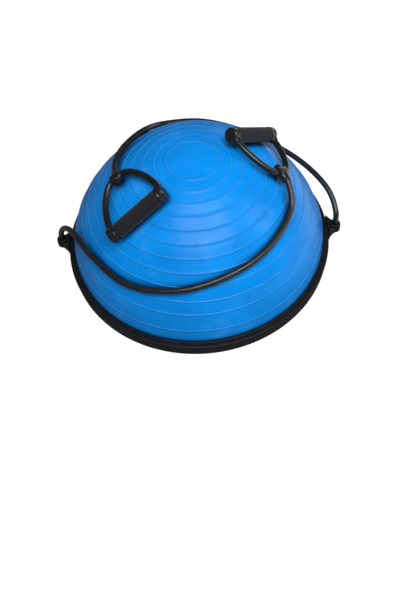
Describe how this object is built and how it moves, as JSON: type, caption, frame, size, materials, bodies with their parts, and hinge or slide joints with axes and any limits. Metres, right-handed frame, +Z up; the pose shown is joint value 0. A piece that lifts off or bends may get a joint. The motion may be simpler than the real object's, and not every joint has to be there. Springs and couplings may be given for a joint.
{
  "type": "balance dome trainer",
  "caption": "Inflated half-ball balance trainer with raised rings on a round black base, elastic tubes anchored at side ears and D-shaped foam-grip handles resting on the dome.",
  "frame": {"origin": "on the floor under the middle of the round base", "axes": "+Z up through the top of the dome; +X towards the ear that anchors the back tube; -Y is the side that the front tube crosses"},
  "size_m": [0.637, 0.5808, 0.3033],
  "materials": {
    "base": "black moulded plastic with a fine texture",
    "rim": "black satin plastic, slightly polished on the lip",
    "dome": "bright blue glossy vinyl membrane",
    "rubber": "matte black rubber",
    "tube": "black latex tube with a satin sheen",
    "handle": "black semi-gloss moulded plastic",
    "foam": "charcoal closed-cell foam, fully matte",
    "valve": "white soft plastic",
    "steel": "zinc-plated steel"
  },
  "bodies": {
    "base": {"base_tray": "base", "rim_ring": "rim", "dome_bladder": "dome", "valve_seat": "valve", "rim_screw_1": "steel", "rim_screw_2": "steel", "rim_screw_3": "steel", "rim_screw_4": "steel", "rim_screw_5": "steel", "rim_screw_6": "steel", "rim_screw_7": "steel", "rim_screw_8": "steel", "foot_1": "rubber", "foot_2": "rubber", "foot_3": "rubber", "foot_4": "rubber", "foot_5": "rubber", "foot_6": "rubber", "foot_7": "rubber", "foot_8": "rubber", "anchor_screw_1": "steel", "anchor_screw_2": "steel", "anchor_screw_3": "steel", "anchor_screw_4": "steel", "front_anchor": "base", "back_anchor": "base", "front_stopper": "rubber", "back_stopper": "rubber", "front_tube_root": "tube", "back_tube_root": "tube"},
    "valve_plug": {"valve_plug": "valve"},
    "front_tube": {"front_tube": "tube", "front_yoke": "handle", "front_end_plug": "rubber"},
    "front_handle": {"front_loop": "handle", "front_cap_1": "handle", "front_cap_2": "handle"},
    "front_grip": {"front_grip_core": "handle", "front_grip_sleeve": "foam"},
    "back_tube": {"back_tube": "tube", "back_yoke": "handle", "back_end_plug": "rubber"},
    "back_handle": {"back_loop": "handle", "back_cap_1": "handle", "back_cap_2": "handle"},
    "back_grip": {"back_grip_core": "handle", "back_grip_sleeve": "foam"}
  },
  "joints": [
    {"name": "valve_plug_pull", "type": "slide", "parent": "base", "child": "valve_plug", "axis": [0, 0.9382, 0.3461], "range_m": [0, 0.03]},
    {"name": "front_tube_lift", "type": "hinge", "parent": "base", "child": "front_tube", "pos_m": [-0.306, 0, 0.05095], "axis": [0, -1, 0], "range_deg": [0, 75]},
    {"name": "front_handle_flip", "type": "hinge", "parent": "front_tube", "child": "front_handle", "pos_m": [0.1759, -0.0106, 0.2291], "axis": [0.6516, 0.5313, -0.5414], "range_deg": [0, 110]},
    {"name": "front_grip_spin", "type": "hinge", "parent": "front_handle", "child": "front_grip", "pos_m": [0.12411, 0.07655, 0.2523], "axis": [0.6516, 0.5313, -0.5414], "continuous": true},
    {"name": "back_tube_lift", "type": "hinge", "parent": "base", "child": "back_tube", "pos_m": [0.306, 0, 0.05095], "axis": [0, 1, 0], "range_deg": [0, 75]},
    {"name": "back_handle_flip", "type": "hinge", "parent": "back_tube", "child": "back_handle", "pos_m": [-0.1519, -0.0176, 0.2469], "axis": [-0.7913, -0.3506, -0.5009], "range_deg": [0, 110]},
    {"name": "back_grip_spin", "type": "hinge", "parent": "back_handle", "child": "back_grip", "pos_m": [-0.1086, -0.11213, 0.24465], "axis": [-0.7913, -0.3506, -0.5009], "continuous": true}
  ]
}
